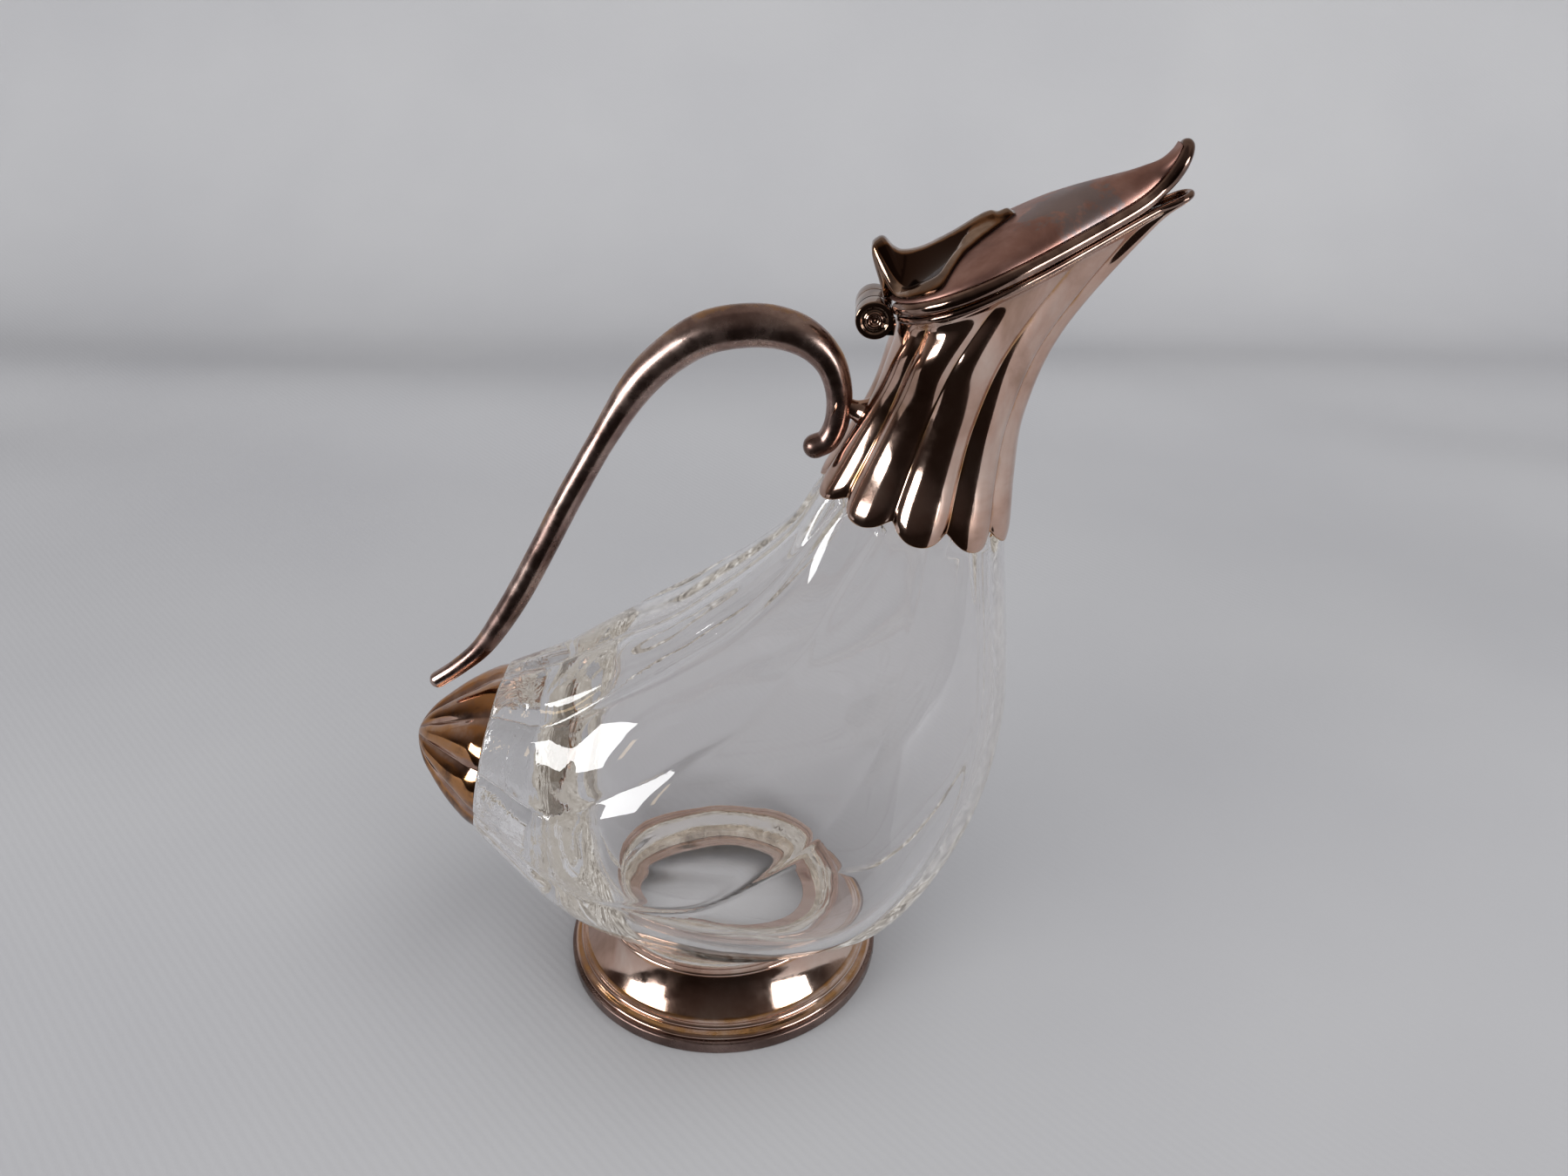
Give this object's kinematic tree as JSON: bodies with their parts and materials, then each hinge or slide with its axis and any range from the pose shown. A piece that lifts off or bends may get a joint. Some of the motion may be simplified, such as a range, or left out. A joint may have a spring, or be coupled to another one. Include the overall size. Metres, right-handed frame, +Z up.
{
  "type": "claret jug",
  "caption": "Lobed clear glass claret jug lying on a round foot, with silver-plated beaked collar, hinged lid with thumbpiece, loop handle and fluted tail cap.",
  "frame": {"origin": "centre of the foot's resting circle, on the table", "axes": "+X towards the spout, +Z up, Y across; the jug is symmetric about Y = 0"},
  "size_m": [0.211, 0.1348, 0.256],
  "materials": {
    "clear_glass": "polished clear",
    "silver_plate": "polished silver plate, tarnished brown",
    "silver_plate_dark": "silver plate, dark with tarnish",
    "cement": "matt beige plaster cement"
  },
  "bodies": {
    "jug": {"glass_body": "clear_glass", "spout_collar": "silver_plate", "spout_rim_wire": "silver_plate", "neck_cement": "cement", "hinge_knuckle_right": "silver_plate_dark", "hinge_knuckle_left": "silver_plate_dark", "hinge_pin": "silver_plate", "handle": "silver_plate", "handle_lug": "silver_plate", "tail_cap": "silver_plate", "tail_cement": "cement", "foot_dome": "silver_plate", "foot_gallery": "silver_plate", "foot_base_ring": "silver_plate_dark", "foot_cement": "cement"},
    "lid": {"lid_shell": "silver_plate", "lid_rim_wire": "silver_plate", "thumbpiece": "silver_plate_dark", "lid_knuckle": "silver_plate_dark"}
  },
  "joints": [
    {"name": "lid_hinge", "type": "hinge", "parent": "jug", "child": "lid", "pos_m": [0.0429, 0, 0.2136], "axis": [0, -1, 0], "range_deg": [0, 72]}
  ]
}
